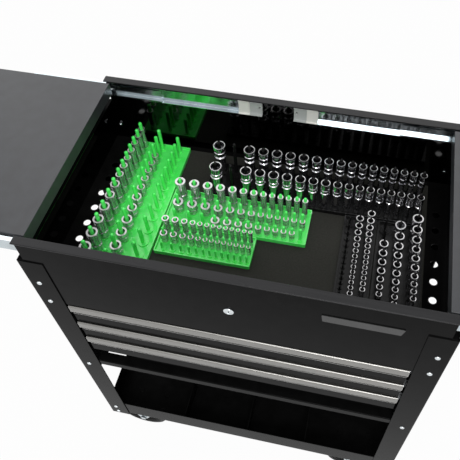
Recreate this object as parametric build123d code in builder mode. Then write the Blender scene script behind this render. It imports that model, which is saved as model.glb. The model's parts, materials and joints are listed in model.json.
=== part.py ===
"""A sliding-top tool cart with socket racks in its top compartment.

Millimetres, +Z up. X runs along the cart and its front faces -Y. The origin is on the floor under the
middle of the cart. The lids are modelled slid open, the drawers shut.
"""
import os
from itertools import product

from build123d import *

os.makedirs("parts", exist_ok=True)

# ---- Frame, measured over the corner posts ----
cart_width = 762.0
cart_depth = 422.0
post_bottom = 150.0
post_height = 787.0
post_front_flange = 49.5
post_side_flange = 38.0
post_thickness = 2.0
bend_radius = 2.5
sheet = 1.5
gap = 0.5  # left between pieces that slide past each other
bend_clearance = 0.5
through = 1.0  # how far a cut starts outside the face it goes through

# ---- Top compartment and its rims ----
rim_rise = 63.0
rim_overhang = 3.8
rim_width = 17.0
rim_thickness = 3.0
rim_half_length = 368.0
compartment_depth = 176.0
wall_drop = 15.0
wall_fold = 12.0
side_cover_start = 85.0  # along Y, and the covers close each side from there to the rear
side_cover_bottom = 600.0
mat_thickness = 3.0
mat_side_margin = 42.5
mat_end_margin = 14.0
mat_corner = 3.0
tool_hole_diameter = 15.0
tool_hole_lines = (-350.0, 355.0)
tool_hole_pitch = 40.0
tool_hole_count = 7

# ---- Sliding lids ----
lid_top_drop = 2.0
lid_travel = 352.5
lid_outer_skirt = 58.0
lid_inner_skirt = 28.0
lid_meeting_gap = 1.5
lid_end_overhang = 2.0
lid_flange_drop = 2.0  # below the slide's inner member
lid_flange_inset = 8.0

# ---- Telescopic slides: a fixed channel, a middle and an inner member, each a C-section ----
slide_height = 37.0
slide_width = 12.7
slide_wall = 1.2
channel_depth = 9.0
middle_height = 29.0
middle_offset = 1.8
middle_depth = 8.2
inner_height = 20.0
inner_depth = 7.6
lid_slide_length = 331.0
lid_slide_end = 33.0
lid_slide_offset = 4.0  # towards +X, for the slides on both sides
lid_slide_top_gap = 1.0  # under the rims
lid_slide_plate_length = 49.0
lid_slide_plate_thickness = 3.0
lid_slide_boss_start = 27.0
lid_slide_boss_length = 22.0
lid_slide_boss_thickness = 6.0
lid_slide_hole_place = 5.5
lid_slide_hole_radius = 2.5
drawer_slide_length = 350.0
lid_middle_share = 0.475  # of the lid's travel

# ---- Drawer cabinet ----
drawer_count = 3
drawer_pitch = 69.0
drawer_top = 787.0
drawer_front_height = 66.0
drawer_front_width = 654.0
drawer_box_depth = 375.0
drawer_box_height = 52.0
drawer_box_drop = 12.0
drawer_sheet = 1.2
drawer_inner_set_back = 3.0
cabinet_side_x = 333.0
cabinet_bottom = 497.0
cabinet_side_drop = 10.0
cabinet_foot = 8.0
cabinet_top_inset = 19.0
bottom_rail_height = 23.0
bottom_rail_depth = 22.0
handle_lip_height = 20.0
handle_proud = 4.5
handle_channel_depth = 17.5
handle_channel_height = 36.0
handle_wall = 1.6
handle_round = 3.0

# ---- Lower tray ----
tray_lift = 7.5
tray_lip_height = 71.5
tray_wall_height = 57.5
divider_places = (-168.0, 2.0, 153.0)
divider_foot = 15.0
divider_end_gap = 0.5

# ---- Bolts ----
bolt_x = 360.0
bolt_heights = (866.0, 797.0, 494.0, 200.0, 166.0)
rear_bolt_heights = (866.0, 494.0, 200.0, 166.0)
bolt_radius = 3.0
bolt_hole_radius = 3.2
bolt_head_radius = 5.0
bolt_head_height = 2.6
bolt_nut_radius = 5.4
bolt_nut_height = 4.0

# ---- Lock and badge ----
lock_height = 892.0
lock_radius = 6.5
lock_running_gap = 0.06
lock_bezel_radius = 9.5
lock_bezel_height = 3.0
lock_sleeve_radius = 8.0
lock_sleeve_length = 12.0
lock_hole_radius = 8.1
lock_cam_length = 24.0
lock_cam_width = 9.0
keyhole_length = 7.0
keyhole_width = 1.4
keyhole_depth = 5.0
lock_recess = 0.4
lock_cam_thickness = 2.0
badge_x = 226.0
badge_z = 930.5
badge_length = 134.0
badge_height = 20.8
badge_slant = 5.0
badge_thickness = 1.6
badge_corner = 2.0

# ---- Casters ----
caster_x = 281.0
caster_y = 164.0
caster_plate_length = 95.0
caster_plate_width = 68.0
caster_plate_thickness = 3.0
caster_bolt_spacing_x = 75.0
caster_bolt_spacing_y = 46.0
caster_bolt_radius = 4.0
caster_bolt_head_radius = 8.0
caster_bolt_head_height = 2.4
caster_nut_radius = 7.5
caster_nut_height = 6.5
caster_trail = 34.0
wheel_radius = 63.5
wheel_width = 32.0
tyre_thickness = 14.0
hub_width = 36.0
hub_rim = 5.0
hub_web = 12.0
hub_boss_radius = 14.0
hub_recess = 2.0
tyre_round = 7.0
axle_radius = 5.0
axle_running_gap = 0.06
axle_fit_gap = 0.05
axle_head_radius = 8.5
axle_head_height = 5.0
fork_wall = 3.0
fork_inside = 37.0
fork_leg_width = 26.0
crown_radius = 27.0
crown_thickness = 4.0
raceway_height = 9.0
kingpin_radius = 7.0
kingpin_running_gap = 0.06
kingpin_head = 4.0
kingpin_head_height = 3.5
crown_flat = 6.0
rigid_leg_top = 60.0
pedal_length = 44.0
pedal_width = 30.0
pedal_thickness = 3.0
pedal_pivot_radius = 3.0
pedal_tip_round = 9.0
pivot_hub_radius = 5.0
pivot_lug = 2.0
pivot_set_back = 30.0
pivot_rise = 3.0  # above the top of the wheel
pin_head_radius = 4.8
pin_head_height = 2.0

# ---- Socket racks ----
rack_lift = 0.3
rack_height = 10.0
rack_wall = 2.4
rack_floor = 5.0
rack_corner = 2.8
rack_under_depth = 3.6
pad_height = 2.5
pad_ratio = 0.95
peg_round = 0.85
bore_extra = 1.0
socket_chamfer = 0.5
socket_shoulder = 0.45  # how far up a socket its waist ends

# ---- Places worked out from the sizes above ----
post_x = cart_width / 2
post_y = cart_depth / 2
panel_x = post_x - post_thickness
panel_y = post_y - post_thickness
panel_edge_x = panel_x - bend_clearance  # clear of the bend inside the posts
inner_x = panel_x - sheet
inner_y = panel_y - sheet
post_top = post_bottom + post_height
rim_top = post_top + rim_rise
rim_under = rim_top - rim_thickness
floor_top = rim_top - compartment_depth
wall_bottom = floor_top - wall_drop
mat_top = floor_top + mat_thickness
lid_top = rim_top - lid_top_drop
lid_half_width = inner_y - slide_width
slide_middle_z = rim_under - lid_slide_top_gap - slide_height / 2
lid_outer_x = post_x + lid_end_overhang
drawer_box_x = cabinet_side_x - slide_width
drawer_face_y = -inner_y
handle_back_y = drawer_face_y + handle_channel_depth
tray_bottom = post_bottom + tray_lift
tray_floor_top = tray_bottom + sheet
wheel_z = wheel_radius
signs = (-1, 1)


def save(piece, name):
    """Label one finished piece and write it."""
    piece.label = name
    export_step(piece, f"parts/{name}.step")


def block(low, high, mode=Mode.ADD):
    """A rectangular block between two corners, in the part being built."""
    size = [b - a for a, b in zip(low, high)]
    middle = tuple((a + b) / 2 for a, b in zip(low, high))
    with Locations(middle):
        Box(*size, mode=mode)


def rods_along_y(points, radius, y_low, y_high, mode=Mode.ADD):
    """Round rods or holes along Y at the given (x, z) points."""
    with BuildSketch(Plane.XZ.offset(-y_high)) as rods:
        with Locations(*points):
            Circle(radius)
    extrude(rods.sketch, amount=y_high - y_low, mode=mode)


def bolt_points(heights):
    """The (x, z) places of the bolts on both sides of the cart."""
    return [(side * bolt_x, height) for side, height in product(signs, heights)]


# ---- Corner posts ----
def corner_posts(name, side_y, heights):
    """The left and right L-angle posts at the front or the rear, with bolt holes at the given heights."""
    with BuildPart() as posts:
        for side_x in signs:
            corner = (side_x * post_x, side_y * post_y)
            with BuildSketch(Plane.XY.offset(post_bottom)):
                with BuildLine():
                    FilletPolyline(
                        (corner[0] - side_x * post_front_flange, corner[1]),
                        corner,
                        (corner[0], corner[1] - side_y * post_side_flange),
                        radius=bend_radius,
                    )
                    offset(amount=post_thickness, side=Side.LEFT if side_x * side_y < 0 else Side.RIGHT)
                make_face()
            extrude(amount=post_height)
        y_low, y_high = sorted((side_y * (post_y + 1), side_y * (panel_y - 1)))
        rods_along_y(bolt_points(heights), bolt_hole_radius, y_low, y_high, Mode.SUBTRACT)
    save(posts.part, name)


corner_posts("front_posts", -1, bolt_heights)
corner_posts("rear_posts", 1, rear_bolt_heights)


# ---- Sheet metal of the top compartment ----
upper_bolts = [height for height in bolt_heights if height > drawer_top]


def trim_wall_corners(side_y):
    """Take the upper corners off a long wall, where it would stand out beyond the ends of the rims."""
    y_low, y_high = sorted((side_y * (inner_y - through), side_y * (panel_y + through)))
    for side_x in signs:
        x_low, x_high = sorted((side_x * (rim_half_length - gap), side_x * post_x))
        block((x_low, y_low, post_top), (x_high, y_high, rim_top), Mode.SUBTRACT)


with BuildPart() as front_panel:
    with BuildSketch(Plane.YZ.offset(-panel_edge_x)):
        with BuildLine():
            FilletPolyline(
                (-panel_y, rim_under),
                (-panel_y, drawer_top + 1),
                (-panel_y + wall_fold, drawer_top + 1),
                radius=bend_radius,
            )
            offset(amount=sheet, side=Side.LEFT)
        make_face()
    extrude(amount=2 * panel_edge_x)
    rods_along_y(bolt_points(upper_bolts), bolt_hole_radius, -post_y, -inner_y + 1, Mode.SUBTRACT)
    rods_along_y([(0, lock_height)], lock_hole_radius, -post_y, -inner_y + 1, Mode.SUBTRACT)
    trim_wall_corners(-1)
save(front_panel.part, "front_panel")

with BuildPart() as rear_panel:
    block((-panel_edge_x, inner_y, wall_bottom), (panel_edge_x, panel_y, rim_under))
    rods_along_y(bolt_points([bolt_heights[0]]), bolt_hole_radius, inner_y - 1, post_y, Mode.SUBTRACT)
    trim_wall_corners(1)
save(rear_panel.part, "rear_panel")

with BuildPart() as side_panels:
    for side in signs:
        with BuildSketch(Plane.XZ.offset(-inner_y)):
            with BuildLine():
                FilletPolyline(
                    (side * panel_x, wall_bottom),
                    (side * panel_x, post_top),
                    (side * (panel_x - wall_fold), post_top),
                    radius=bend_radius,
                )
                offset(amount=sheet, side=Side.LEFT if side > 0 else Side.RIGHT)
            make_face()
        extrude(amount=2 * inner_y)
        cover_low, cover_high = sorted((side * inner_x, side * panel_x))
        block((cover_low, side_cover_start, side_cover_bottom), (cover_high, inner_y, wall_bottom + sheet))
save(side_panels.part, "side_panels")

with BuildPart() as compartment_floor:
    block((-inner_x, -inner_y, floor_top - sheet), (inner_x, inner_y, floor_top))
    with BuildSketch(Plane.XY.offset(floor_top)):
        with Locations(*[(x, 0) for x in tool_hole_lines]):
            with GridLocations(1, tool_hole_pitch, 1, tool_hole_count):
                Circle(tool_hole_diameter / 2)
    extrude(amount=-sheet, mode=Mode.SUBTRACT)
save(compartment_floor.part, "compartment_floor")

with BuildPart() as liner_mat:
    with BuildSketch(Plane.XY.offset(floor_top)):
        RectangleRounded(2 * (inner_x - mat_side_margin), 2 * (inner_y - mat_end_margin), mat_corner)
    extrude(amount=mat_thickness)
save(liner_mat.part, "liner_mat")

with BuildPart() as rims:
    for side in signs:
        y_outer = side * (post_y + rim_overhang)
        y_inner = y_outer - side * rim_width
        with BuildSketch(Plane.YZ.offset(-rim_half_length)):
            with Locations(((y_outer + y_inner) / 2, rim_top - rim_thickness / 2)):
                RectangleRounded(rim_width, rim_thickness, rim_thickness / 2.5)
        extrude(amount=2 * rim_half_length)
save(rims.part, "rims")


# ---- Drawer cabinet ----
with BuildPart() as cabinet_sides:
    for side in signs:
        web_low, web_high = sorted((side * cabinet_side_x, side * (cabinet_side_x + sheet)))
        flange_low, flange_high = sorted((side * cabinet_side_x, side * (panel_x - 2)))
        low_z = cabinet_bottom - cabinet_side_drop
        block((web_low, -panel_y, low_z), (web_high, panel_y, drawer_top))
        top_y = panel_y - cabinet_top_inset
        block((web_low, -top_y, drawer_top), (web_high, top_y, floor_top - sheet))
        for end in signs:
            y_low, y_high = sorted((end * panel_y, end * inner_y))
            block((flange_low, y_low, low_z), (flange_high, y_high, drawer_top))
        foot_low, foot_high = sorted((side * cabinet_side_x, side * (cabinet_side_x - cabinet_foot)))
        foot_y = inner_y - bottom_rail_depth - 2
        block((foot_low, -foot_y, cabinet_bottom), (foot_high, foot_y, cabinet_bottom + sheet))
    rods_along_y(bolt_points([bolt_heights[2]]), bolt_hole_radius, -post_y, post_y, Mode.SUBTRACT)
save(cabinet_sides.part, "cabinet_sides")

with BuildPart() as cabinet_rear_panel:
    with BuildSketch(Plane.YZ.offset(-cabinet_side_x)):
        with BuildLine():
            FilletPolyline(
                (panel_y, wall_bottom - 1),
                (panel_y, cabinet_bottom),
                (panel_y - bottom_rail_depth, cabinet_bottom),
                radius=bend_radius,
            )
            offset(amount=sheet, side=Side.RIGHT)
        make_face()
    extrude(amount=2 * cabinet_side_x)
save(cabinet_rear_panel.part, "cabinet_rear_panel")

with BuildPart() as front_bottom_rail:
    with BuildSketch(Plane.YZ.offset(-cabinet_side_x)):
        with BuildLine():
            FilletPolyline(
                (-panel_y + bottom_rail_depth, cabinet_bottom + bottom_rail_height),
                (-panel_y, cabinet_bottom + bottom_rail_height),
                (-panel_y, cabinet_bottom),
                (-panel_y + bottom_rail_depth, cabinet_bottom),
                radius=bend_radius,
            )
            offset(amount=sheet, side=Side.LEFT)
        make_face()
    extrude(amount=2 * cabinet_side_x)
save(front_bottom_rail.part, "front_bottom_rail")


# ---- Lower tray ----
with BuildPart() as lower_tray:
    tray_edge = (panel_edge_x, panel_y, tray_bottom + tray_wall_height)
    block((-panel_edge_x, -panel_y, tray_bottom), tray_edge)
    for side in signs:
        y_low, y_high = sorted((side * panel_y, side * inner_y))
        low = (-panel_edge_x, y_low, tray_bottom)
        high = (panel_edge_x, y_high, tray_bottom + tray_lip_height)
        block(low, high)
    fillet(edges().filter_by(Axis.X).group_by(Axis.Z)[0], bend_radius)
    block((-inner_x, -inner_y, tray_floor_top), (inner_x, inner_y, post_top), Mode.SUBTRACT)
    rods_along_y(bolt_points(bolt_heights[-2:]), bolt_hole_radius, -post_y, post_y, Mode.SUBTRACT)
    with BuildSketch(Plane.XY.offset(tray_floor_top)):
        with GridLocations(2 * caster_x, 2 * caster_y, 2, 2):
            with GridLocations(caster_bolt_spacing_x, caster_bolt_spacing_y, 2, 2):
                Circle(caster_bolt_radius + 0.2)
    extrude(amount=-sheet, mode=Mode.SUBTRACT)
save(lower_tray.part, "lower_tray")

with BuildPart() as tray_dividers:
    divider_y = inner_y - divider_end_gap
    for x in divider_places:
        with BuildSketch(Plane.XZ.offset(-divider_y)):
            with BuildLine():
                FilletPolyline(
                    (x, tray_bottom + tray_wall_height),
                    (x, tray_floor_top),
                    (x + divider_foot, tray_floor_top),
                    radius=bend_radius,
                )
                offset(amount=sheet, side=Side.LEFT)
            make_face()
        extrude(amount=2 * divider_y)
save(tray_dividers.part, "tray_dividers")


# ---- Bolts ----
def button_bolts(side, heights):
    """Domed bolts with hex nuts, through the posts and the sheet behind them."""
    points = bolt_points(heights)
    face = side * post_y
    back = side * inner_y
    head_low, head_high = sorted((face, face + side * bolt_head_height))
    shank_low, shank_high = sorted((face, back - side * (bolt_nut_height + 1)))
    rods_along_y(points, bolt_head_radius, head_low, head_high)
    outer_rims = edges().filter_by(GeomType.CIRCLE).filter_by(
        lambda rim: abs(rim.center().Y) > post_y + bolt_head_height / 2 and rim.center().Y * side > 0
    )
    fillet(outer_rims, bolt_head_height * 0.85)
    rods_along_y(points, bolt_radius, shank_low, shank_high)
    with BuildSketch(Plane.XZ.offset(-max(back, back - side * bolt_nut_height))) as nuts:
        with Locations(*points):
            RegularPolygon(bolt_nut_radius, 6)
    extrude(nuts.sketch, amount=bolt_nut_height)


with BuildPart() as frame_bolts:
    button_bolts(-1, bolt_heights)
    button_bolts(1, rear_bolt_heights)
save(frame_bolts.part, "frame_bolts")


def at_caster_bolts(low, high, outline):
    """An outline raised from low to high at every bolt of the four casters."""
    with BuildSketch(Plane.XY.offset(low)) as outlines:
        with GridLocations(2 * caster_x, 2 * caster_y, 2, 2):
            with GridLocations(caster_bolt_spacing_x, caster_bolt_spacing_y, 2, 2):
                outline()
    extrude(outlines.sketch, amount=high - low)


with BuildPart() as caster_bolts:
    bolt_low = tray_bottom - caster_plate_thickness
    head_top = tray_floor_top + caster_bolt_head_height
    at_caster_bolts(tray_floor_top, head_top, lambda: Circle(caster_bolt_head_radius))
    fillet(edges().filter_by(GeomType.CIRCLE).group_by(Axis.Z)[-1], caster_bolt_head_height * 0.8)
    at_caster_bolts(bolt_low, tray_floor_top, lambda: Circle(caster_bolt_radius))
    at_caster_bolts(bolt_low - caster_nut_height, bolt_low, lambda: RegularPolygon(caster_nut_radius, 6))
save(caster_bolts.part, "caster_bolts")


# ---- Lock and badge ----
with BuildPart() as lock_bezel:
    bezel_face = -panel_y - lock_bezel_height
    rods_along_y([(0, lock_height)], lock_bezel_radius, bezel_face, -panel_y)
    fillet(edges().filter_by(GeomType.CIRCLE).sort_by(Axis.Y)[0], lock_bezel_height * 0.5)
    rods_along_y([(0, lock_height)], lock_sleeve_radius, -panel_y, -panel_y + lock_sleeve_length)
    bore = lock_radius + lock_running_gap
    rods_along_y([(0, lock_height)], bore, bezel_face - 1, 0, Mode.SUBTRACT)
save(lock_bezel.part, "lock_bezel")

with BuildPart() as lock_cylinder:
    key_face = -panel_y - lock_bezel_height + lock_recess
    cam_y = -panel_y + lock_sleeve_length + gap
    rods_along_y([(0, lock_height)], lock_radius, key_face, cam_y)
    block(
        (-keyhole_width / 2, key_face, lock_height - keyhole_length / 2),
        (keyhole_width / 2, key_face + keyhole_depth, lock_height + keyhole_length / 2),
        Mode.SUBTRACT,
    )
    with BuildSketch(Plane.XZ.offset(-cam_y)):
        with Locations((0, lock_height - lock_cam_length / 2 + lock_cam_width / 2)):
            SlotOverall(lock_cam_length, lock_cam_width, rotation=90)
    extrude(amount=-lock_cam_thickness)
save(lock_cylinder.part, "lock_cylinder")

with BuildPart() as badge_plate:
    half_length = badge_length / 2
    half_height = badge_height / 2
    with BuildSketch(Plane.XZ.offset(panel_y)):
        with BuildLine():
            Polyline(
                (badge_x - half_length, badge_z + half_height),
                (badge_x + half_length + badge_slant / 2, badge_z + half_height),
                (badge_x + half_length - badge_slant / 2, badge_z - half_height),
                (badge_x - half_length + badge_slant / 2, badge_z - half_height),
                close=True,
            )
        make_face()
        fillet(vertices(), badge_corner)
    extrude(amount=badge_thickness)
save(badge_plate.part, "badge_plate")


# ---- Telescopic slides ----
def slide_member(start, end, wall, z, offset_in, height, depth, along, opens_in):
    """One C-section from start to end along an axis.

    wall is the signed place of the surface that the slide is fixed to, and the slide grows from it
    towards zero. opens_in says that the C opens away from that surface.
    """
    inward = -1 if wall > 0 else 1
    back = wall + inward * offset_in
    front = back + inward * depth
    web = back if opens_in else front
    web_end = web + inward * slide_wall * (1 if opens_in else -1)

    def member_block(across_a, across_b, z_low, z_high):
        across_low, across_high = sorted((across_a, across_b))
        if along == Axis.X:
            block((start, across_low, z_low), (end, across_high, z_high))
        else:
            block((across_low, start, z_low), (across_high, end, z_high))

    member_block(web, web_end, z - height / 2, z + height / 2)
    member_block(back, front, z - height / 2, z - height / 2 + slide_wall)
    member_block(back, front, z + height / 2 - slide_wall, z + height / 2)


def fixed_channel(start, end, wall, z, along):
    """The member screwed to the cabinet."""
    slide_member(start, end, wall, z, 0, slide_height, channel_depth, along, True)


def middle_member(start, end, wall, z, along):
    """The member that runs between the two others."""
    slide_member(start, end, wall, z, middle_offset, middle_height, middle_depth, along, True)


def inner_member(start, end, wall, z, along):
    """The member screwed to the lid or drawer."""
    offset_in = slide_width - inner_depth
    slide_member(start, end, wall, z, offset_in, inner_height, inner_depth, along, False)


def span(side, near, far, shift=0.0, offset=0.0):
    """The ends of a stretch along X that is shifted outward, mirrored by side, and offset to the right."""
    return sorted((side * (near + shift) + offset, side * (far + shift) + offset))


def slide_span(side, near, far, shift=0.0):
    """The ends of a stretch of a lid's slide."""
    return span(side, near, far, shift, lid_slide_offset)


lid_slide_far = lid_slide_end + lid_slide_length
lid_member_near = lid_slide_end + lid_slide_plate_length + gap

with BuildPart() as lid_slide_channels:
    for side, wall in product(signs, (-inner_y, inner_y)):
        inward = -1 if wall > 0 else 1
        fixed_channel(*slide_span(side, lid_slide_end, lid_slide_far), wall, slide_middle_z, Axis.X)
        plate_x = slide_span(side, lid_slide_end, lid_slide_end + lid_slide_plate_length)
        plate_y = sorted((wall, wall + inward * lid_slide_plate_thickness))
        boss_start = lid_slide_end + lid_slide_boss_start
        boss_x = slide_span(side, boss_start, boss_start + lid_slide_boss_length)
        boss_y = sorted((wall, wall + inward * lid_slide_boss_thickness))
        z_half = slide_height / 2 - slide_wall
        block(
            (plate_x[0], plate_y[0], slide_middle_z - z_half),
            (plate_x[1], plate_y[1], slide_middle_z + z_half),
        )
        block(
            (boss_x[0], boss_y[0], slide_middle_z - z_half),
            (boss_x[1], boss_y[1], slide_middle_z + z_half),
        )
        hole_x = side * (lid_slide_end + lid_slide_hole_place) + lid_slide_offset
        hole_low, hole_high = plate_y[0] - through, plate_y[1] + through
        rods_along_y([(hole_x, slide_middle_z)], lid_slide_hole_radius, hole_low, hole_high, Mode.SUBTRACT)
save(lid_slide_channels.part, "lid_slide_channels")


# ---- Sliding lids, each shifted outward to its open place ----
def sliding_lid(name, side):
    """A pressed pan with a deep outer skirt, a shallow inner one, and a flange for each slide."""
    x_near = lid_meeting_gap / 2 + lid_travel
    x_far = lid_outer_x + lid_travel
    plate = span(side, x_near, x_far)
    with BuildPart() as lid:
        for low_x, high_x, low_z in (
            (*plate, lid_top - sheet),
            (*span(side, x_far - sheet, x_far), lid_top - lid_outer_skirt),
            (*span(side, x_near, x_near + sheet), lid_top - lid_inner_skirt),
        ):
            block((low_x, -lid_half_width, low_z), (high_x, lid_half_width, lid_top))
        flange = span(side, x_near, x_far - lid_flange_inset)
        flange_low = slide_middle_z - inner_height / 2 - lid_flange_drop
        for end in signs:
            y_low, y_high = sorted((end * lid_half_width, end * (lid_half_width - sheet)))
            block((flange[0], y_low, flange_low), (flange[1], y_high, lid_top))
        top_edges = edges().group_by(Axis.Z)[-1]
        fillet(top_edges, sheet * 0.6)
    save(lid.part, f"{name}_lid")

    with BuildPart() as middles:
        for wall in (-inner_y, inner_y):
            ends = slide_span(side, lid_member_near, lid_slide_far, lid_travel * lid_middle_share)
            middle_member(*ends, wall, slide_middle_z, Axis.X)
    save(middles.part, f"{name}_lid_slide_middles")

    with BuildPart() as inners:
        for wall in (-inner_y, inner_y):
            ends = slide_span(side, lid_member_near, lid_slide_far, lid_travel)
            inner_member(*ends, wall, slide_middle_z, Axis.X)
    save(inners.part, f"{name}_lid_slide_inners")


sliding_lid("left", -1)
sliding_lid("right", 1)


# ---- Drawers ----
slide_front_y = handle_back_y + 1.0
slide_rear_y = slide_front_y + drawer_slide_length


def drawer_slide_z(top):
    """The height of a drawer's slides, from the top of its front."""
    return top - drawer_box_drop - drawer_box_height / 2


def drawer(number, top):
    """A box with its front, a full-width pull, and two slides."""
    bottom = top - drawer_front_height
    box_top = top - drawer_box_drop
    box_bottom = box_top - drawer_box_height
    channel_bottom = top - handle_channel_height
    x_half = drawer_front_width / 2
    box_back_y = handle_back_y + drawer_box_depth
    with BuildPart() as box:
        block((-drawer_box_x, handle_back_y, box_bottom), (drawer_box_x, box_back_y, box_top))
        block(
            (-drawer_box_x + drawer_sheet, handle_back_y + drawer_sheet, box_bottom + drawer_sheet),
            (drawer_box_x - drawer_sheet, box_back_y - drawer_sheet, box_top),
            Mode.SUBTRACT,
        )
        block(
            (-x_half, drawer_face_y, bottom),
            (x_half, drawer_face_y + drawer_sheet, channel_bottom - handle_wall),
        )
        block((-x_half, drawer_face_y, bottom), (x_half, handle_back_y, bottom + drawer_sheet))
        block(
            (-drawer_box_x, handle_back_y - drawer_sheet, bottom),
            (drawer_box_x, handle_back_y, box_bottom + drawer_sheet),
        )
    save(box.part, f"drawer_{number}_box")

    with BuildPart() as pull:
        lip_y = drawer_face_y - handle_proud
        with BuildSketch(Plane.YZ.offset(-x_half)):
            with BuildLine():
                FilletPolyline(
                    (lip_y, top - handle_lip_height),
                    (lip_y, top),
                    (handle_back_y, top),
                    (handle_back_y, channel_bottom),
                    (drawer_face_y, channel_bottom),
                    radius=handle_round,
                )
                offset(amount=handle_wall, side=Side.RIGHT)
            make_face()
        extrude(amount=2 * x_half)
    save(pull.part, f"drawer_{number}_pull")

    slide_z = drawer_slide_z(top)
    with BuildPart() as middles:
        for wall in (-cabinet_side_x, cabinet_side_x):
            middle_member(slide_front_y, slide_rear_y, wall, slide_z, Axis.Y)
    save(middles.part, f"drawer_{number}_slide_middles")

    with BuildPart() as inners:
        for wall in (-cabinet_side_x, cabinet_side_x):
            inner_member(slide_front_y + drawer_inner_set_back, slide_rear_y, wall, slide_z, Axis.Y)
    save(inners.part, f"drawer_{number}_slide_inners")


drawer_tops = [drawer_top - drawer_pitch * index for index in range(drawer_count)]
for number, top in enumerate(drawer_tops, start=1):
    drawer(number, top)

with BuildPart() as drawer_slide_channels:
    for top, wall in product(drawer_tops, (-cabinet_side_x, cabinet_side_x)):
        fixed_channel(slide_front_y, slide_rear_y, wall, drawer_slide_z(top), Axis.Y)
save(drawer_slide_channels.part, "drawer_slide_channels")


# ---- Casters: the left pair swivel and brake, the right pair are rigid ----
plate_under = tray_bottom - caster_plate_thickness
raceway_under = plate_under - raceway_height
crown_top = raceway_under - gap
crown_under = crown_top - crown_thickness
fork_half = fork_inside / 2
pivot_z = wheel_z + wheel_radius + pivot_rise


def caster_plate(x, y):
    """A caster's top plate with its four bolt holes, in the part being built."""
    half_length = caster_plate_length / 2
    half_width = caster_plate_width / 2
    block((x - half_length, y - half_width, plate_under), (x + half_length, y + half_width, tray_bottom))
    with BuildSketch(Plane.XY.offset(tray_bottom)) as holes:
        with Locations((x, y)):
            with GridLocations(caster_bolt_spacing_x, caster_bolt_spacing_y, 2, 2):
                Circle(caster_bolt_radius + 0.2)
    extrude(holes.sketch, amount=-caster_plate_thickness, mode=Mode.SUBTRACT)


def disc(x, y, radius, low, high, mode=Mode.ADD):
    """An upright round disc, in the part being built."""
    with BuildSketch(Plane.XY.offset(low)) as outline:
        with Locations((x, y)):
            Circle(radius)
    extrude(outline.sketch, amount=high - low, mode=mode)


def fork_legs(y, outline):
    """Both legs of a fork from one side outline, given in X and Z."""
    for side in signs:
        y_low, y_high = sorted((y + side * fork_half, y + side * (fork_half + fork_wall)))
        with BuildSketch(Plane.XZ.offset(-y_high)) as leg:
            outline()
            make_hull()
        extrude(leg.sketch, amount=y_high - y_low)


def axle_set(x, z, y, radius, head_radius, head_height):
    """A bolt across both legs with its hex head and nut, built apart from the fork."""
    reach = fork_half + fork_wall
    with BuildPart() as axle:
        rods_along_y([(x, z)], radius, y - reach - head_height, y + reach + head_height)
        for low in (y - reach - head_height, y + reach + axle_fit_gap):
            with BuildSketch(Plane.XZ.offset(-low - head_height)) as ends:
                with Locations((x, z)):
                    RegularPolygon(head_radius, 6)
            extrude(ends.sketch, amount=head_height - axle_fit_gap)
    return axle.part


with BuildPart() as caster_plates:
    for y in (-caster_y, caster_y):
        caster_plate(-caster_x, y)
        disc(-caster_x, y, crown_radius, raceway_under, plate_under)
        disc(-caster_x, y, kingpin_radius, crown_under - gap, raceway_under)
        head_top = crown_under - gap
        disc(-caster_x, y, kingpin_radius + kingpin_head, head_top - kingpin_head_height, head_top)
save(caster_plates.part, "caster_plates")


def swivel_fork(name, y):
    """A swivel caster's fork with its axle and pedal pin; the wheel trails towards -X."""
    x = -caster_x
    axle_x = x - caster_trail
    pin_x = axle_x - pivot_set_back

    def outline():
        with Locations((axle_x, wheel_z)):
            Circle(fork_leg_width / 2)
        with Locations((pin_x, pivot_z)):
            Circle(pivot_hub_radius + pivot_lug)
        with Locations((x, (crown_top + crown_under) / 2)):
            Rectangle(2 * (crown_radius - crown_flat), crown_thickness)

    with BuildPart() as fork:
        disc(x, y, crown_radius, crown_under, crown_top)
        half = crown_radius - crown_flat
        width = fork_half + fork_wall
        block((x - half, y - width, crown_under), (x + half, y + width, crown_top))
        fork_legs(y, outline)
        kingpin_bore = kingpin_radius + kingpin_running_gap
        disc(x, y, kingpin_bore, crown_under - through, crown_top + through, Mode.SUBTRACT)
        y_low, y_high = y - width - through, y + width + through
        rods_along_y([(axle_x, wheel_z)], axle_radius + axle_fit_gap, y_low, y_high, Mode.SUBTRACT)
        rods_along_y([(pin_x, pivot_z)], pedal_pivot_radius + axle_fit_gap, y_low, y_high, Mode.SUBTRACT)
    axle = axle_set(axle_x, wheel_z, y, axle_radius, axle_head_radius, axle_head_height)
    pin = axle_set(pin_x, pivot_z, y, pedal_pivot_radius, pin_head_radius, pin_head_height)
    save(Compound(children=[fork.part, axle, pin]), f"{name}_caster_fork")


def brake_pedal(name, y):
    """A pressed pedal on a sleeve round the fork's rear pin."""
    pin_x = -caster_x - caster_trail - pivot_set_back
    sleeve_half = fork_half - gap
    with BuildPart() as pedal:
        rods_along_y([(pin_x, pivot_z)], pivot_hub_radius, y - sleeve_half, y + sleeve_half)
        block(
            (pin_x - pedal_length, y - pedal_width / 2, pivot_z + pivot_hub_radius - pedal_thickness),
            (pin_x, y + pedal_width / 2, pivot_z + pivot_hub_radius),
        )
        tip = edges().filter_by(Axis.Z).group_by(Axis.X)[0]
        fillet(tip, pedal_tip_round)
        bore = pedal_pivot_radius + axle_running_gap
        y_low, y_high = y - sleeve_half - through, y + sleeve_half + through
        rods_along_y([(pin_x, pivot_z)], bore, y_low, y_high, Mode.SUBTRACT)
    save(pedal.part, f"{name}_brake_pedal")


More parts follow.
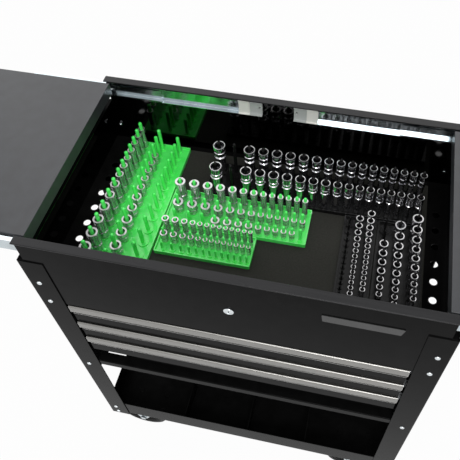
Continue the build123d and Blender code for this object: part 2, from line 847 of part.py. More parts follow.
def caster_wheel(name, x, y):
    """A tyre moulded round a hub with a thin web."""
    half = wheel_width / 2
    hub_radius = wheel_radius - tyre_thickness
    with BuildPart() as tyre:
        rods_along_y([(x, wheel_z)], wheel_radius, y - half, y + half)
        fillet(edges().filter_by(GeomType.CIRCLE), tyre_round)
        rods_along_y([(x, wheel_z)], hub_radius, y - half - through, y + half + through, Mode.SUBTRACT)
    with BuildPart() as hub:
        rods_along_y([(x, wheel_z)], hub_radius, y - half + hub_recess, y + half - hub_recess)
        for low, high in ((y - half, y - hub_web / 2), (y + hub_web / 2, y + half)):
            rods_along_y([(x, wheel_z)], hub_radius - hub_rim, low, high, Mode.SUBTRACT)
        rods_along_y([(x, wheel_z)], hub_boss_radius, y - hub_width / 2, y + hub_width / 2)
        bore = axle_radius + axle_running_gap
        rods_along_y([(x, wheel_z)], bore, y - hub_width, y + hub_width, Mode.SUBTRACT)
    save(Compound(children=[tyre.part, hub.part]), f"{name}_wheel")


def rigid_caster_frame(y):
    """A rigid caster's plate and legs, with the axle across them."""
    x = caster_x
    width = fork_half + fork_wall

    def outline():
        with Locations((x, wheel_z)):
            Circle(fork_leg_width / 2)
        with Locations((x, plate_under - crown_thickness / 2)):
            Rectangle(rigid_leg_top, crown_thickness)

    with BuildPart() as frame:
        caster_plate(x, y)
        fork_legs(y, outline)
        hole = axle_radius + axle_fit_gap
        rods_along_y([(x, wheel_z)], hole, y - width - through, y + width + through, Mode.SUBTRACT)
    return [frame.part, axle_set(x, wheel_z, y, axle_radius, axle_head_radius, axle_head_height)]


frames = rigid_caster_frame(-caster_y) + rigid_caster_frame(caster_y)
save(Compound(children=frames), "rigid_caster_frames")
for end, y in (("front", -caster_y), ("rear", caster_y)):
    swivel_fork(f"{end}_left", y)
    brake_pedal(f"{end}_left", y)
    caster_wheel(f"{end}_left", -caster_x - caster_trail, y)
    caster_wheel(f"{end}_right", caster_x, y)


# ---- Socket racks ----
rack_base = mat_top + rack_lift
pad_bottom = rack_base + rack_floor
pad_top = pad_bottom + pad_height


def row_places(start, toward, diameters, spread):
    """Places along a row, neighbours standing spread times their mean diameter apart."""
    found = [start]
    for one, two in zip(diameters, diameters[1:]):
        found.append(found[-1] + toward * spread * (one + two) / 2)
    return found


def socket_rack(name, x_span, y_span, axis, row_line, diameters, peg_radius, rows, waist, bore_share):
    """A moulded rack with its pegs, and the sockets that stand on them.

    row_line holds the first place, the way a row runs, and the spread. Each row is its place across the
    rack, its peg height, the height of its sockets, and the places along it that hold one. A row with a
    first place and spread of its own ends with its own line.
    """
    width = x_span[1] - x_span[0]
    length = y_span[1] - y_span[0]
    centre = (sum(x_span) / 2, sum(y_span) / 2)

    def row_points(across, own_line):
        start, toward, spread = own_line[0] if own_line else row_line
        along = row_places(start, toward, diameters, spread)
        return [(place, across) if axis == Axis.X else (across, place) for place in along]

    def round_set(z, height, points, radii):
        with BuildSketch(Plane.XY.offset(z)) as outlines:
            for point, radius in zip(points, radii):
                with Locations(point):
                    Circle(radius)
        extrude(outlines.sketch, amount=height)

    with BuildPart() as tray:
        with BuildSketch(Plane.XY.offset(rack_base)):
            with Locations(centre):
                RectangleRounded(width, length, rack_corner)
        extrude(amount=rack_height)
        for low, depth in ((pad_bottom, rack_height), (rack_base, rack_under_depth)):
            with BuildSketch(Plane.XY.offset(low)):
                with Locations(centre):
                    inside = 2 * rack_wall
                    RectangleRounded(width - inside, length - inside, rack_corner - rack_wall)
            extrude(amount=depth, mode=Mode.SUBTRACT)
        for across, _, _, _, *own_line in rows:
            pad_radii = [size * pad_ratio / 2 for size in diameters]
            round_set(pad_bottom, pad_height, row_points(across, own_line), pad_radii)

    with BuildPart() as pegs:
        for across, peg_height, _, _, *own_line in rows:
            points = row_points(across, own_line)
            round_set(pad_top, peg_height, points, [peg_radius] * len(points))
        fillet(edges().filter_by(GeomType.CIRCLE).filter_by(lambda rim: rim.center().Z > pad_top + 1),
               peg_radius * peg_round)
    save(Compound(children=[tray.part, *pegs.part.solids()]), name)

    with BuildPart() as sockets:
        for across, _, height, filled, *own_line in rows:
            if not filled:
                continue
            places = row_points(across, own_line)
            points = [places[index] for index in filled]
            sizes = [diameters[index] for index in filled]
            shoulder = height * socket_shoulder
            round_set(pad_top, shoulder, points, [size * waist / 2 for size in sizes])
            round_set(pad_top + shoulder, height - shoulder, points, [size / 2 for size in sizes])
            rims = edges().filter_by(GeomType.CIRCLE).filter_by(
                lambda rim: abs(rim.center().Z - pad_top - height) < 0.01
            )
            chamfer(rims, socket_chamfer)
            with BuildSketch(Plane.XY.offset(pad_top)) as bores:
                for point, size in zip(points, sizes):
                    with Locations(point):
                        RegularPolygon((size * bore_share + bore_extra) / 2, 6)
            extrude(bores.sketch, amount=height, mode=Mode.SUBTRACT)
    save(sockets.part, f"{name}_sockets")


socket_rack(
    "green_rack_left", (-318.0, -194.0), (-186.0, 190.5), Axis.Y, (178.4, -1, 1.38),
    (15, 15, 16, 16, 15.5, 17, 17.5, 20.5, 20.5, 22.5, 22.5, 23.5, 24.5, 25),
    4.0,
    ((-297.0, 75.0, 56.5, range(14)), (-256.5, 61.0, 24.5, range(2, 14)), (-216.0, 45.5, 0, ())),
    0.92, 0.6,
)
socket_rack(
    "green_rack_middle", (-191.0, 102.5), (-15.0, 73.0), Axis.X, (-168.5, 1, 1.36),
    (22.2, 21.4, 20.2, 19, 17.6, 16, 15.4, 13.4, 12.8, 12.2, 12.2, 12.4, 12),
    3.3,
    ((51.5, 66.0, 57.5, range(13)), (23.5, 51.0, 26.0, range(13)), (-2.0, 35.0, 18.5, range(3, 12))),
    0.92, 0.62,
)
socket_rack(
    "green_rack_front", (-189.0, 5.0), (-85.5, -16.0), Axis.X, (-174.0, 1, 1.36),
    (15.4, 14.4, 13, 11.6, 10.6, 10, 9, 9.1, 9.1, 9, 9.2, 9.1, 8.7),
    2.4,
    ((-34.5, 50.0, 45.5, range(13)), (-55.0, 42.0, 24.5, range(13)), (-74.0, 20.0, 0, ())),
    0.92, 0.62,
)
socket_rack(
    "black_rack_rear", (-128.0, 324.0), (77.5, 163.0), Axis.X, (-109.0, 1, 1.286),
    (26, 25, 24.5, 22, 22.5, 21.5, 21.5, 20, 19.5, 18.5, 17.5, 16.5, 16.5, 16.2, 15.4, 15.2, 15, 14.8),
    3.6,
    (
        (143.0, 92.0, 80.5, (0, *range(2, 18))),
        (92.5, 84.0, 72.5, (0, *range(2, 18)), (-104.0, 1, 1.264)),
    ),
    0.8, 0.55,
)
socket_rack(
    "black_rack_inner", (170.5, 236.0), (-132.0, 74.0), Axis.Y, (55.3, -1, 1.15),
    (15.8, 14.8, 14, 13, 12, 11.4, 10.6, 10.1, 10.1, 9.8, 9.8, 9.6, 10.2, 10.6),
    1.8,
    ((181.5, 24.0, 0, ()), (200.8, 36.0, 24.5, range(14)), (221.3, 56.0, 46.5, range(14))),
    0.9, 0.58,
)
socket_rack(
    "black_rack_outer", (238.5, 330.0), (-151.0, 74.0), Axis.Y, (54.6, -1, 1.25),
    (22, 19.6, 18.2, 16.6, 15.8, 15.6, 13.8, 12.6, 11.8, 11.2),
    2.4,
    ((252.7, 36.0, 24.5, range(2, 9)), (281.2, 36.0, 24.5, range(10)), (310.2, 66.0, 54.5, range(10))),
    0.9, 0.58,
)
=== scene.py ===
import json
from math import cos, pi, radians, sin

import bmesh
import bpy
from mathutils import Matrix, Vector


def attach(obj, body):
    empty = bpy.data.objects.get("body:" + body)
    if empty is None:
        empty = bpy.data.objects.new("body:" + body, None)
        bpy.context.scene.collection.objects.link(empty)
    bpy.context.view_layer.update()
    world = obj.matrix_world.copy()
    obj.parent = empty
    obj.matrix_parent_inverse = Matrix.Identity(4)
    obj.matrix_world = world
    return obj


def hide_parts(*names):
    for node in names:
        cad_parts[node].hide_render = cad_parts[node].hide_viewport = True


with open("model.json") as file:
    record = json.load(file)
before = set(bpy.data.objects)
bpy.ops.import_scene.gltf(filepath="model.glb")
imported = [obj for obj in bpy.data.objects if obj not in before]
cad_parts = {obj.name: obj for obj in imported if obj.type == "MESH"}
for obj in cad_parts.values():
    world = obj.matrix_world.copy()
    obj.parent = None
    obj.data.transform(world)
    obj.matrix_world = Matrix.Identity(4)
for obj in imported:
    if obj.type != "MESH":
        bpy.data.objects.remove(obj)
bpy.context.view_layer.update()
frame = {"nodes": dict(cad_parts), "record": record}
scene = bpy.context.scene


MM = 0.001

# ---- Camera at the photograph's viewpoint ----
PHOTO_SIZE = 460  # pixels each way
PHOTO_FOCAL = 596.53  # in pixels
PHOTO_AXIS = (271.574, 182.361)  # the pixel that the lens axis meets
SENSOR_WIDTH = 36.0
CAMERA_PLACE = (0.17806, -0.66034, 1.82931)
CAMERA_RIGHT = (0.97906, 0.203362, -0.009218)
CAMERA_DOWN = (0.152012, -0.760456, -0.631347)
CAMERA_AHEAD = (-0.135402, 0.616726, -0.775445)


def add_camera():
    data = bpy.data.cameras.new("photo_camera")
    data.sensor_fit = "HORIZONTAL"
    data.sensor_width = SENSOR_WIDTH
    data.lens = PHOTO_FOCAL / PHOTO_SIZE * SENSOR_WIDTH
    data.shift_x = (PHOTO_SIZE / 2 - PHOTO_AXIS[0]) / PHOTO_SIZE
    data.shift_y = (PHOTO_AXIS[1] - PHOTO_SIZE / 2) / PHOTO_SIZE
    data.clip_start = 0.01
    camera = bpy.data.objects.new("photo_camera", data)
    turn = Matrix((Vector(CAMERA_RIGHT), -Vector(CAMERA_DOWN), -Vector(CAMERA_AHEAD))).transposed()
    camera.matrix_world = Matrix.Translation(CAMERA_PLACE) @ turn.to_4x4()
    scene.collection.objects.link(camera)
    scene.camera = camera


add_camera()


# ---- Materials ----
EDGE_SAMPLES = 4
EDGE_LOOSE, EDGE_FULL = 0.97, 0.80  # how far the rounded normal turns where an edge's painted highlight starts and is full
CLOUD_SCALE = 6.0
SCATTER_RADIUS = (0.004, 0.012, 0.004)


def link(tree, out_node, out_name, in_node, in_name):
    tree.links.new(out_node.outputs[out_name], in_node.inputs[in_name])


def add_node(tree, kind, **values):
    node = tree.nodes.new(kind)
    for name, value in values.items():
        if name in node.inputs:
            node.inputs[name].default_value = value
        else:
            setattr(node, name, value)
    return node


def noise(tree, scale, detail, stretch=None):
    """A noise texture on object coordinates, in metres, optionally stretched."""
    place = add_node(tree, "ShaderNodeTexCoord")
    mapping = add_node(tree, "ShaderNodeMapping")
    if stretch:
        mapping.inputs["Scale"].default_value = stretch
    link(tree, place, "Object", mapping, "Vector")
    texture = add_node(tree, "ShaderNodeTexNoise", Scale=scale, Detail=detail)
    link(tree, mapping, "Vector", texture, "Vector")
    return texture


def between(tree, source, output, low, high, out_low, out_high):
    """Map part of a texture's range onto another range."""
    node = add_node(tree, "ShaderNodeMapRange")
    node.inputs["From Min"].default_value = low
    node.inputs["From Max"].default_value = high
    node.inputs["To Min"].default_value = out_low
    node.inputs["To Max"].default_value = out_high
    link(tree, source, output, node, "Value")
    return node


def edge_mask(tree, radius):
    """1 on edges narrower than radius, 0 on flat faces."""
    bevel = add_node(tree, "ShaderNodeBevel", Radius=radius)
    bevel.samples = EDGE_SAMPLES
    geometry = add_node(tree, "ShaderNodeNewGeometry")
    dot = add_node(tree, "ShaderNodeVectorMath", operation="DOT_PRODUCT")
    tree.links.new(bevel.outputs["Normal"], dot.inputs[0])
    tree.links.new(geometry.outputs["Normal"], dot.inputs[1])
    return between(tree, dot, "Value", EDGE_LOOSE, EDGE_FULL, 0.0, 1.0)


def finish_material(name, color, second, rough, metallic=0.0, level=0.5, coat=0.0, grain=40.0,
                    stretch=None, bump=0.05, bump_scale=900.0, edge=None, edge_radius=0.0012,
                    scatter=None):
    """A procedural finish: two tones, uneven roughness, a fine bump, and a painted highlight along edges in
    the edge colour.
    """
    material = bpy.data.materials.new(name)
    material.use_nodes = True
    tree = material.node_tree
    shader = tree.nodes["Principled BSDF"]
    shader.inputs["Metallic"].default_value = metallic
    shader.inputs["Specular IOR Level"].default_value = level
    shader.inputs["Coat Weight"].default_value = coat
    shader.inputs["Coat Roughness"].default_value = 0.05
    tone = noise(tree, grain, 5.0, stretch)
    cloud = noise(tree, CLOUD_SCALE, 3.0)
    blend_in = between(tree, tone, "Fac", 0.35, 0.65, 0.0, 1.0)
    mix = add_node(tree, "ShaderNodeMix", data_type="RGBA")
    mix.inputs["A"].default_value = (*color, 1)
    mix.inputs["B"].default_value = (*second, 1)
    tree.links.new(blend_in.outputs["Result"], mix.inputs["Factor"])
    result = mix.outputs["Result"]
    # the edge colour is a painted highlight laid over rounded edges
    if edge:
        mask = edge_mask(tree, edge_radius)
        painted_edge_highlight = add_node(tree, "ShaderNodeMix", data_type="RGBA")
        painted_edge_highlight.inputs["B"].default_value = (*edge, 1)
        tree.links.new(result, painted_edge_highlight.inputs["A"])
        tree.links.new(mask.outputs["Result"], painted_edge_highlight.inputs["Factor"])
        result = painted_edge_highlight.outputs["Result"]
    tree.links.new(result, shader.inputs["Base Color"])
    uneven = between(tree, cloud, "Fac", 0.3, 0.7, rough[0], rough[1])
    link(tree, uneven, "Result", shader, "Roughness")
    if scatter:
        shader.inputs["Subsurface Weight"].default_value = scatter
        shader.inputs["Subsurface Radius"].default_value = SCATTER_RADIUS
        shader.inputs["Subsurface Scale"].default_value = 0.5
    fine = noise(tree, bump_scale, 3.0, stretch)
    raise_up = add_node(tree, "ShaderNodeBump", Strength=bump, Distance=0.0004)
    link(tree, fine, "Fac", raise_up, "Height")
    link(tree, raise_up, "Normal", shader, "Normal")
    return material


# the edge colours below are painted highlights along the rounded edges
black_paint = finish_material(
    "black_gloss_paint", (0.0035, 0.0035, 0.0035), (0.005, 0.005, 0.005), (0.12, 0.2),
    level=0.02, bump=0.05, bump_scale=260.0, edge=(0.014, 0.014, 0.014), edge_radius=0.0009,
)
inner_paint = finish_material(
    "black_mirror_paint", (0.0035, 0.0035, 0.0035), (0.005, 0.005, 0.005), (0.12, 0.2),
    level=0.02, bump=0.03, bump_scale=260.0, edge=(0.014, 0.014, 0.014), edge_radius=0.0009,
)
lid_paint = finish_material(
    "lid_satin_paint", (0.028, 0.029, 0.032), (0.034, 0.036, 0.040), (0.28, 0.36),
    level=0.42, bump=0.08, bump_scale=700.0, edge=(0.12, 0.12, 0.13),
)
rim_paint = finish_material(
    "rim_paint", (0.007, 0.007, 0.008), (0.012, 0.012, 0.013), (0.24, 0.34), level=0.22,
    stretch=(0.02, 1.0, 1.0), grain=420.0, bump=0.08, edge=(0.30, 0.30, 0.31), edge_radius=0.0008,
)
pull_metal = finish_material(
    "pull_aluminium", (0.22, 0.215, 0.205), (0.27, 0.265, 0.25), (0.24, 0.32), metallic=1.0,
    stretch=(0.02, 1.0, 1.0), grain=500.0, bump=0.08, edge=(0.9, 0.9, 0.9), edge_radius=0.0010,
)
zinc = finish_material(
    "zinc_steel", (0.46, 0.51, 0.53), (0.54, 0.60, 0.63), (0.10, 0.20), metallic=1.0,
    bump=0.04, edge=(0.9, 0.9, 0.92),
)
channel_zinc = finish_material(
    "slide_channel_zinc", (0.46, 0.51, 0.53), (0.54, 0.60, 0.63), (0.10, 0.20), metallic=1.0,
    bump=0.04, edge=(0.9, 0.9, 0.92),
)
chrome = finish_material(
    "socket_chrome", (0.50, 0.50, 0.52), (0.60, 0.60, 0.62), (0.10, 0.18), metallic=1.0,
    bump=0.02, bump_scale=400.0,
)
satin_chrome = finish_material(
    "socket_satin_chrome", (0.44, 0.44, 0.46), (0.54, 0.54, 0.56), (0.12, 0.20), metallic=0.85,
    bump=0.02, bump_scale=400.0,
)
chrome_face = finish_material(
    "socket_end_face", (0.50, 0.49, 0.50), (0.58, 0.57, 0.58), (0.36, 0.46), metallic=0.8,
    bump=0.04, bump_scale=500.0, edge=(0.9, 0.9, 0.9), edge_radius=0.0003,
)
bolt_chrome = finish_material(
    "bolt_chrome", (0.66, 0.70, 0.72), (0.76, 0.80, 0.82), (0.10, 0.18), metallic=1.0, bump=0.03,
)
badge_face = finish_material(
    "badge_face", (0.012, 0.012, 0.012), (0.020, 0.020, 0.020), (0.12, 0.2), level=0.4, bump=0.03,
)
mat_foam = finish_material(
    "mat_foam", (0.020, 0.020, 0.017), (0.027, 0.027, 0.023), (0.75, 0.9), level=0.2,
    grain=300.0, bump=0.4, bump_scale=1400.0,
)
green = finish_material(
    "green_plastic", (0.07, 0.88, 0.12), (0.10, 0.95, 0.16), (0.14, 0.22), level=0.55,
    bump=0.05, bump_scale=500.0, edge=(0.30, 0.95, 0.34), edge_radius=0.0010, scatter=0.3,
)
# dark green painted shade for the hollows in the peg tips
green_hollow_shade = finish_material(
    "green_plastic_hollow_painted_shade", (0.006, 0.10, 0.012), (0.010, 0.14, 0.018), (0.4, 0.5), level=0.2, bump=0.05,
)
black_plastic = finish_material(
    "black_plastic", (0.004, 0.004, 0.004), (0.007, 0.007, 0.007), (0.14, 0.24), level=0.12,
    bump=0.3, bump_scale=500.0, edge=(0.05, 0.05, 0.05), edge_radius=0.0008,
)
tyre = finish_material(
    "tyre_rubber", (0.018, 0.018, 0.018), (0.03, 0.03, 0.03), (0.6, 0.75), level=0.35,
    bump=0.25, bump_scale=700.0,
)

PLATE_MIDDLE = 0.004  # the slides lie this far to the right of the cart's middle
PLATE_FAR = 0.0825  # where the plates end, from there
BOSS_NEAR = 0.0590
BOSS_BLEND = 0.0005
# painted reflection: pale non-metal tones standing for the white surroundings mirrored in the zinc end
# plates, brighter over the boss
PLATE_PAINTED_REFLECTION = (0.40, 0.42, 0.41, 1)
BOSS_PAINTED_REFLECTION = (0.70, 0.70, 0.66, 1)
PLATE_METALLIC = 0.1
PLATE_ROUGHNESS = 0.4
INNER_TONE = (0.055, 0.055, 0.055, 1)
INNER_FACING = (-0.02, -0.04)  # over this range of the facing measure the mirror black comes in
OUTER_ROUGHNESS, INNER_ROUGHNESS = 0.16, 0.07


def overlay(tree, shader, mask, tone):
    """Put another colour over the shader's base colour where the mask is 1."""
    mix = add_node(tree, "ShaderNodeMix", data_type="RGBA")
    tree.links.new(shader.inputs["Base Color"].links[0].from_socket, mix.inputs["A"])
    if isinstance(tone, tuple):
        mix.inputs["B"].default_value = tone
    else:
        tree.links.new(tone, mix.inputs["B"])
    tree.links.new(mask, mix.inputs["Factor"])
    tree.links.new(mix.outputs["Result"], shader.inputs["Base Color"])


def add_end_plates(material):
    """A painted pale reflection of the white surroundings on the plate at the near end of each lid slide,
    brighter over its boss, the rest of the channel staying plain zinc.
    """
    tree = material.node_tree
    shader = tree.nodes["Principled BSDF"]
    place = add_node(tree, "ShaderNodeTexCoord")
    split = add_node(tree, "ShaderNodeSeparateXYZ")
    link(tree, place, "Object", split, "Vector")
    shifted = add_node(tree, "ShaderNodeMath", operation="SUBTRACT")
    tree.links.new(split.outputs["X"], shifted.inputs[0])
    shifted.inputs[1].default_value = PLATE_MIDDLE
    reach = add_node(tree, "ShaderNodeMath", operation="ABSOLUTE")
    tree.links.new(shifted.outputs[0], reach.inputs[0])
    mask = add_node(tree, "ShaderNodeMath", operation="LESS_THAN")
    tree.links.new(reach.outputs[0], mask.inputs[0])
    mask.inputs[1].default_value = PLATE_FAR
    boss = between(tree, reach, "Value", BOSS_NEAR, BOSS_NEAR + BOSS_BLEND, 0.0, 1.0)
    tone = add_node(tree, "ShaderNodeMix", data_type="RGBA")
    tone.inputs["A"].default_value = PLATE_PAINTED_REFLECTION
    tone.inputs["B"].default_value = BOSS_PAINTED_REFLECTION
    tree.links.new(boss.outputs["Result"], tone.inputs["Factor"])
    overlay(tree, shader, mask.outputs[0], tone.outputs["Result"])
    metal = between(tree, mask, "Value", 0.0, 1.0, 1.0, PLATE_METALLIC)
    tree.links.new(metal.outputs["Result"], shader.inputs["Metallic"])
    rough = between(tree, mask, "Value", 0.0, 1.0, 0.0, PLATE_ROUGHNESS)
    rougher = add_node(tree, "ShaderNodeMath", operation="MAXIMUM")
    tree.links.new(shader.inputs["Roughness"].links[0].from_socket, rougher.inputs[0])
    tree.links.new(rough.outputs["Result"], rougher.inputs[1])
    tree.links.new(rougher.outputs[0], shader.inputs["Roughness"])


def polish_inside(material):
    """Faces turned toward the cart's middle get a mirror black, the others keep the plain paint."""
    tree = material.node_tree
    shader = tree.nodes["Principled BSDF"]
    place = add_node(tree, "ShaderNodeTexCoord")
    flat = add_node(tree, "ShaderNodeVectorMath", operation="MULTIPLY")
    link(tree, place, "Object", flat, "Vector")
    flat.inputs[1].default_value = (1, 1, 0)
    facing = add_node(tree, "ShaderNodeVectorMath", operation="DOT_PRODUCT")
    tree.links.new(flat.outputs["Vector"], facing.inputs[0])
    tree.links.new(place.outputs["Normal"], facing.inputs[1])
    mask = between(tree, facing, "Value", *INNER_FACING, 0.0, 1.0)
    overlay(tree, shader, mask.outputs["Result"], INNER_TONE)
    tree.links.new(mask.outputs["Result"], shader.inputs["Metallic"])
    smooth = between(tree, mask, "Result", 0.0, 1.0, OUTER_ROUGHNESS, INNER_ROUGHNESS)
    tree.links.new(smooth.outputs["Result"], shader.inputs["Roughness"])


polish_inside(inner_paint)
add_end_plates(channel_zinc)

by_slot = {
    "black_paint": black_paint, "lid_paint": lid_paint, "rim_paint": rim_paint, "pull_aluminium": pull_metal,
    "zinc_steel": zinc, "bolt_chrome": bolt_chrome, "badge_chrome": badge_face, "socket_chrome": chrome,
    "mat_foam": mat_foam, "green_plastic": green, "black_plastic": black_plastic, "wheel_rubber": tyre,
}
node_slot = {entry["node"]: entry["material_slot"] for entry in frame["record"]["subparts"]}
own_finish = {
    "lid_slide_channels": channel_zinc, "rear_panel": inner_paint, "side_panels": inner_paint,
}
for node, obj in frame["nodes"].items():
    obj.data.materials.clear()
    obj.data.materials.append(own_finish.get(node, by_slot[node_slot[node]]))


# ---- Pieces ----
SIDES = 36  # a multiple of the twelve points of a star ring
STAR_STEP = 3
MERGE_DISTANCE = 1e-6


def add_piece(name, drawn, material, body):
    """Turn a drawn bmesh into a smooth piece that rides on a body."""
    mesh = bpy.data.meshes.new(name)
    drawn.to_mesh(mesh)
    drawn.free()
    obj = bpy.data.objects.new(name, mesh)
    scene.collection.objects.link(obj)
    mesh.materials.append(material)
    for polygon in mesh.polygons:
        polygon.use_smooth = True
    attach(obj, body)
    return obj


def corners(places):
    """Lowest and highest corner of some places."""
    low = Vector([min(place[i] for place in places) for i in range(3)])
    high = Vector([max(place[i] for place in places) for i in range(3)])
    return low, high


def islands(node):
    """Centre, radius, bottom and top of each separate solid of a CAD node."""
    mesh = bmesh.new()
    mesh.from_mesh(frame["nodes"][node].data)
    bmesh.ops.remove_doubles(mesh, verts=mesh.verts, dist=MERGE_DISTANCE)
    seen = set()
    found = []
    for first in mesh.verts:
        if first in seen:
            continue
        seen.add(first)
        group = [first]
        for vert in group:
            for edge in vert.link_edges:
                other = edge.other_vert(vert)
                if other not in seen:
                    seen.add(other)
                    group.append(other)
        low, high = corners([vert.co for vert in group])
        middle = (low + high) / 2
        found.append((middle.x, middle.y, (high.x - low.x) / 2, low.z, high.z))
    mesh.free()
    return found


def lathe(mesh, x, y, rings):
    """Rings of (radius, height, star depth, face material) joined into a skin."""
    last = None
    for radius, height, star, face_material in rings:
        ring = []
        for index in range(SIDES):
            angle = 2 * pi * index / SIDES
            reach = radius * (1 - star if index % STAR_STEP else 1)
            ring.append(mesh.verts.new((x + reach * cos(angle), y + reach * sin(angle), height)))
        if last:
            for index in range(SIDES):
                after = (index + 1) % SIDES
                face = mesh.faces.new((last[index], last[after], ring[after], ring[index]))
                face.material_index = face_material
        last = ring


SHARP_ANGLE = 28
MOUTH_RING = -4  # the ring between a socket's end face and its bore
REAR_ROW_START = 0.12  # along Y


def socket_rings(radius, low, high, bore, style):
    """The outline of one socket from its foot, up its outside, over its end face, and down its bore."""
    height = high - low
    if style == "long":
        outline = [
            (0.86, 0.0), (0.9, 0.8 * MM), (0.9, height - 36 * MM), (0.99, height - 34.5 * MM),
            (0.99, height - 30 * MM), (0.82, height - 28 * MM), (0.82, height - 20 * MM),
            (0.94, height - 19 * MM), (0.94, height - 16.5 * MM), (0.84, height - 15.5 * MM),
            (0.84, height - 12.5 * MM), (0.98, height - 11 * MM), (1.0, height - 1.5 * MM), (0.95, height),
        ]
    elif style == "stepped":
        outline = [
            (0.86, 0.0), (0.9, 0.8 * MM), (0.9, height - 31 * MM), (0.98, height - 30 * MM),
            (0.98, height - 27 * MM), (0.84, height - 26 * MM), (0.84, height - 21 * MM),
            (0.96, height - 20 * MM), (0.96, height - 17.5 * MM), (0.88, height - 16.5 * MM),
            (0.88, height - 13 * MM), (1.0, height - 12 * MM), (1.0, height - 1.2 * MM), (0.94, height),
        ]
    elif style == "deep":
        outline = [
            (0.84, 0.0), (0.88, 0.8 * MM), (0.88, height * 0.26), (0.98, height * 0.29),
            (0.98, height * 0.35), (0.87, height * 0.375), (0.87, height * 0.78), (0.98, height * 0.81),
            (1.0, height - 0.8 * MM), (0.95, height),
        ]
    else:
        outline = [
            (0.88, 0.0), (0.92, 0.6 * MM), (0.92, height * 0.30), (0.98, height * 0.34),
            (0.98, height * 0.46), (0.90, height * 0.50), (0.90, height * 0.64), (0.98, height * 0.69),
            (1.0, height - 0.6 * MM), (0.95, height),
        ]
    rings = [(radius * 0.6, low, 0.0, 0)] + [(radius * share, low + rise, 0.0, 0) for share, rise in outline]
    return rings + [
        (radius * (bore + 0.04), high - 0.05 * MM, 0.0, 1), (radius * bore, high - 0.9 * MM, 0.05, 0),
        (radius * bore * 0.97, high - min(0.6 * height, 22 * MM), 0.06, 0),
        (radius * bore * 0.7, high - min(0.65 * height, 23 * MM), 0.0, 0),
    ]


def build_sockets(rack, body_finish, bore, cone, style_of):
    """Turned sockets in the place of a rack's plain ones; cone gives the share of a sloping mouth."""
    node = f"{rack}_sockets"
    mesh = bmesh.new()
    for x, y, radius, low, high in islands(node):
        rings = socket_rings(radius, low, high, bore, style_of(y, high))
        if cone:
            rings[MOUTH_RING] = (radius * cone, high - 0.2 * MM, 0.0, 1)
            rings[MOUTH_RING + 1] = (radius * (bore + 0.03), high - 6 * MM, 0.05, 0)
        lathe(mesh, x, y, rings)
    piece = add_piece(node + "_turned", mesh, body_finish, rack)
    piece.data.materials.append(chrome_face)
    modifier = piece.modifiers.new("edges", "EDGE_SPLIT")
    modifier.split_angle = radians(SHARP_ANGLE)
    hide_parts(node)


def tall_or_short(limit):
    """Deep sockets where the top is above the limit, short ones elsewhere."""
    return lambda y, top: "deep" if top > limit else "short"


def long_or_stepped(y, _):
    """The rear row of the rear rack is long, the row in front of it is stepped."""
    return "long" if y > REAR_ROW_START else "stepped"


build_sockets("green_rack_left", satin_chrome, 0.62, 0, tall_or_short(0.875))
build_sockets("green_rack_middle", satin_chrome, 0.52, 0, tall_or_short(0.875))
build_sockets("green_rack_front", satin_chrome, 0.58, 0, tall_or_short(0.870))
build_sockets("black_rack_rear", chrome, 0.66, 0.82, long_or_stepped)
build_sockets("black_rack_inner", chrome, 0.60, 0.74, tall_or_short(0.870))
build_sockets("black_rack_outer", chrome, 0.60, 0.74, tall_or_short(0.870))

PEG_FOOT = 12 * MM  # above the rack's bottom, and only pegs stand higher
PEG_REACH = 8.2 * MM  # how far points of one peg lie apart at most, across
MARK_TILT = 40
MARK_SIDES = 12
MARK_RINGS = ((0.42, 0.05), (0.36, -0.08), (0.20, -0.10))  # width and depth, as shares of the peg's radius
MARK_WIDE, MARK_LONG = 0.8, 1.2


def pegs(rack):
    """Centre, radius and tip height of each peg of a rack."""
    mesh = frame["nodes"][rack].data
    foot = min(vert.co.z for vert in mesh.vertices) + PEG_FOOT
    near = {}
    for vert in mesh.vertices:
        if vert.co.z < foot:
            continue
        for x, y in near:
            if abs(vert.co.x - x) < PEG_REACH and abs(vert.co.y - y) < PEG_REACH:
                near[x, y].append(vert.co.copy())
                break
        else:
            near[vert.co.x, vert.co.y] = [vert.co.copy()]
    found = []
    for group in near.values():
        low, high = corners(group)
        found.append(((low.x + high.x) / 2, (low.y + high.y) / 2, (high.x - low.x) / 2, high.z))
    return found


def mark_pegs(rack):
    """A small hollow on the front of every peg's tip, coloured dark green as painted shade."""
    mesh = bmesh.new()
    tilt = Matrix.Rotation(radians(MARK_TILT), 3, "X")
    for x, y, radius, top in pegs(rack):
        seat = Vector((x, y, top - radius)) + tilt @ Vector((0, 0, radius * 0.99))
        rings = []
        for share, sink in MARK_RINGS:
            ring = []
            for index in range(MARK_SIDES):
                angle = 2 * pi * index / MARK_SIDES
                across = cos(angle) * share * radius * MARK_WIDE
                along = sin(angle) * share * radius * MARK_LONG
                ring.append(mesh.verts.new(seat + tilt @ Vector((across, along, sink * radius))))
            rings.append(ring)
        for lower, upper in zip(rings, rings[1:]):
            for index in range(MARK_SIDES):
                after = (index + 1) % MARK_SIDES
                mesh.faces.new((lower[index], lower[after], upper[after], upper[index]))
        mesh.faces.new(rings[-1])
    add_piece(rack + "_peg_hollows_painted_shade", mesh, green_hollow_shade, rack)


for rack in ("green_rack_left", "green_rack_middle"):
    mark_pegs(rack)


# ---- Stage: floor, world and studio light ----
FLOOR_HALF = 9.0
FLOOR_TONE = (0.55, 0.55, 0.55, 1)
FLOOR_WHITE = 0.97  # the share of plain white laid over the floor, as seen
WORLD_STRENGTH = 0.45


def seen_directly(tree):
    """1 for camera, glossy and transmission rays, 0 for the others."""
    path = add_node(tree, "ShaderNodeLightPath")
    result = path.outputs["Is Camera Ray"]
    for name in ("Is Glossy Ray", "Is Transmission Ray"):
        either = add_node(tree, "ShaderNodeMath", operation="MAXIMUM")
        tree.links.new(result, either.inputs[0])
        tree.links.new(path.outputs[name], either.inputs[1])
        result = either.outputs[0]
    return result


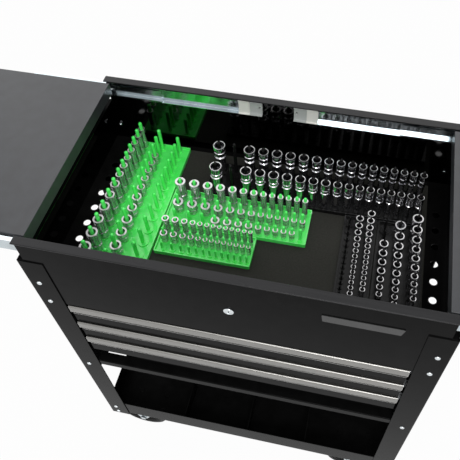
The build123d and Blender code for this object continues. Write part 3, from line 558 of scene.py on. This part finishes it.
def add_stage():
    """A pale floor that keeps a faint shadow, and a plain pale world, both seen as white."""
    mesh = bpy.data.meshes.new("floor")
    outline = [(side * FLOOR_HALF, end * FLOOR_HALF, 0) for side, end in ((-1, -1), (1, -1), (1, 1), (-1, 1))]
    mesh.from_pydata(outline, [], [(0, 1, 2, 3)])
    floor = bpy.data.objects.new("floor", mesh)
    scene.collection.objects.link(floor)
    material = bpy.data.materials.new("floor")
    material.use_nodes = True
    tree = material.node_tree
    shader = tree.nodes["Principled BSDF"]
    shader.inputs["Base Color"].default_value = FLOOR_TONE
    shader.inputs["Roughness"].default_value = 0.9
    glow = add_node(tree, "ShaderNodeEmission", Color=(1, 1, 1, 1), Strength=1.0)
    amount = add_node(tree, "ShaderNodeMath", operation="MULTIPLY")
    tree.links.new(seen_directly(tree), amount.inputs[0])
    amount.inputs[1].default_value = FLOOR_WHITE
    mix = add_node(tree, "ShaderNodeMixShader")
    tree.links.new(amount.outputs[0], mix.inputs["Fac"])
    tree.links.new(shader.outputs["BSDF"], mix.inputs[1])
    tree.links.new(glow.outputs["Emission"], mix.inputs[2])
    tree.links.new(mix.outputs["Shader"], tree.nodes["Material Output"].inputs["Surface"])
    mesh.materials.append(material)

    world = bpy.data.worlds.new("studio")
    scene.world = world
    world.use_nodes = True
    tree = world.node_tree
    base = tree.nodes["Background"]
    base.inputs["Color"].default_value = (1, 1, 1, 1)
    base.inputs["Strength"].default_value = WORLD_STRENGTH
    white = add_node(tree, "ShaderNodeBackground", Color=(1, 1, 1, 1), Strength=1.0)
    mix = add_node(tree, "ShaderNodeMixShader")
    tree.links.new(seen_directly(tree), mix.inputs["Fac"])
    tree.links.new(base.outputs["Background"], mix.inputs[1])
    tree.links.new(white.outputs["Background"], mix.inputs[2])
    tree.links.new(mix.outputs["Shader"], tree.nodes["World Output"].inputs["Surface"])


def soft_light(name, place, target, width, height, radiance):
    """A soft panel whose surface has the given radiance."""
    data = bpy.data.lights.new(name, "AREA")
    data.shape = "RECTANGLE"
    data.size = width
    data.size_y = height
    data.energy = radiance * pi * width * height
    lamp = bpy.data.objects.new(name, data)
    lamp.location = place
    lamp.rotation_euler = (Vector(target) - Vector(place)).to_track_quat("-Z", "Y").to_euler()
    scene.collection.objects.link(lamp)


add_stage()
soft_light("back_panel", (-0.8, 2.9, 3.9), (0, 0, 0.8), 6.0, 3.5, 1.2)
soft_light("front_panel", (0.1, -0.9, 3.3), (0, 0, 0.85), 1.8, 1.3, 2.4)
soft_light("fill", (0.4, -2.3, 2.9), (0, 0, 0.85), 1.2, 0.9, 13.0)

scene.view_settings.view_transform = "Standard"
